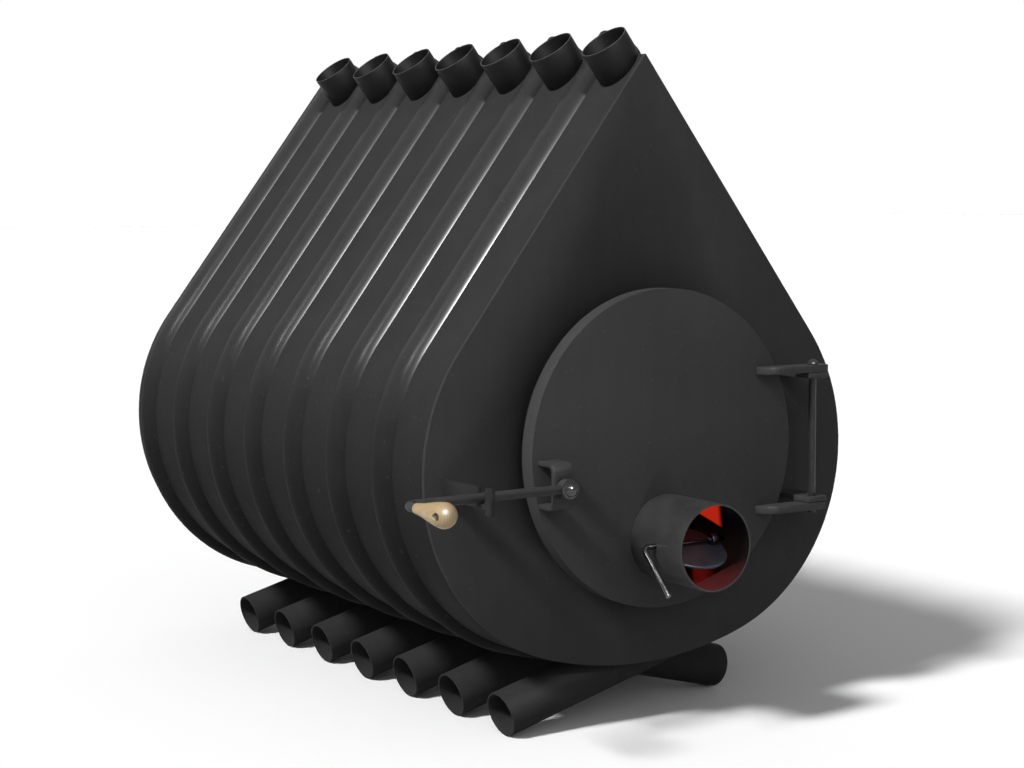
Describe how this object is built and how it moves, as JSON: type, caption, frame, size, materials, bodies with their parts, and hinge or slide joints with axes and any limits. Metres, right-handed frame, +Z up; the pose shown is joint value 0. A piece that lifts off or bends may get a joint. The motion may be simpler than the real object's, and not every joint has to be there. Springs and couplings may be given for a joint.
{
  "type": "hot air wood stove",
  "caption": "Wood stove whose firebox is wrapped in crossed bent air tubes that draw cool air at the floor and blow it out hot at the ridge, with a round hinged door, latch and air damper.",
  "frame": {"origin": "middle of the bounding box's bottom, on the floor", "axes": "+Z up, +Y from the door to the back (the longest way), +X to the right seen from the front"},
  "size_m": [0.7755, 1.2064, 0.9139],
  "materials": {
    "tube_steel": "satin heat-resistant dark grey paint",
    "casing_steel": "satin heat-resistant dark grey paint",
    "plate_steel": "satin heat-resistant dark grey paint",
    "sleeve_black": "matt black paint",
    "dark_steel": "matt black paint",
    "fitting_steel": "satin dark grey paint",
    "bright_steel": "bright steel",
    "damper_steel": "heat-tinted steel",
    "rope": "woven glass fibre rope",
    "wood": "turned, oiled light wood"
  },
  "bodies": {
    "stove": {"right_air_tube_1": "tube_steel", "right_air_tube_2": "tube_steel", "right_air_tube_3": "tube_steel", "right_air_tube_4": "tube_steel", "right_air_tube_5": "tube_steel", "right_air_tube_6": "tube_steel", "right_air_tube_7": "tube_steel", "left_air_tube_1": "tube_steel", "left_air_tube_2": "tube_steel", "left_air_tube_3": "tube_steel", "left_air_tube_4": "tube_steel", "left_air_tube_5": "tube_steel", "left_air_tube_6": "tube_steel", "left_air_tube_7": "tube_steel", "right_casing_strip_1": "casing_steel", "right_casing_strip_2": "casing_steel", "right_casing_strip_3": "casing_steel", "right_casing_strip_4": "casing_steel", "right_casing_strip_5": "casing_steel", "right_casing_strip_6": "casing_steel", "right_casing_strip_7": "casing_steel", "right_casing_strip_8": "casing_steel", "left_casing_strip_1": "casing_steel", "left_casing_strip_2": "casing_steel", "left_casing_strip_3": "casing_steel", "left_casing_strip_4": "casing_steel", "left_casing_strip_5": "casing_steel", "left_casing_strip_6": "casing_steel", "left_casing_strip_7": "casing_steel", "left_casing_strip_8": "casing_steel", "right_outlet_sleeves": "sleeve_black", "left_outlet_sleeves": "sleeve_black", "front_plate": "plate_steel", "back_plate": "plate_steel", "door_frame_ring": "dark_steel", "upper_hinge_lug": "fitting_steel", "lower_hinge_lug": "fitting_steel", "hinge_pin": "fitting_steel", "latch_catch": "fitting_steel", "flue_collar": "dark_steel", "baffle_plate": "dark_steel", "baffle_rails": "dark_steel"},
    "door": {"door_panel": "plate_steel", "rope_channel": "dark_steel", "rope_seal": "rope", "heat_shield": "dark_steel", "shield_studs": "bright_steel", "inlet_tube": "fitting_steel", "upper_hinge_arm": "fitting_steel", "lower_hinge_arm": "fitting_steel", "latch_bow": "fitting_steel", "latch_pivot_bolt": "bright_steel"},
    "latch": {"latch_rod": "fitting_steel", "latch_handle": "wood", "handle_screw": "bright_steel"},
    "inlet_damper": {"inlet_damper_disc": "damper_steel", "inlet_damper_rod": "bright_steel"},
    "flue_damper": {"flue_damper_disc": "fitting_steel", "flue_damper_shaft": "bright_steel"}
  },
  "joints": [
    {"name": "door_swing", "type": "hinge", "parent": "stove", "child": "door", "pos_m": [0.27718, -0.47135, 0.37], "axis": [0, 0, 1], "range_deg": [0, 110]},
    {"name": "latch_lift", "type": "hinge", "parent": "door", "child": "latch", "pos_m": [-0.14433, -0.50085, 0.3385], "axis": [0, 1, 0], "range_deg": [0, 75]},
    {"name": "inlet_damper_turn", "type": "hinge", "parent": "door", "child": "inlet_damper", "pos_m": [0.03968, -0.50985, 0.2553], "axis": [1, 0, 0], "range_deg": [-22, 68]},
    {"name": "flue_damper_turn", "type": "hinge", "parent": "stove", "child": "flue_damper", "pos_m": [0.03968, 0.53015, 0.59], "axis": [1, 0, 0], "range_deg": [0, 90]}
  ]
}
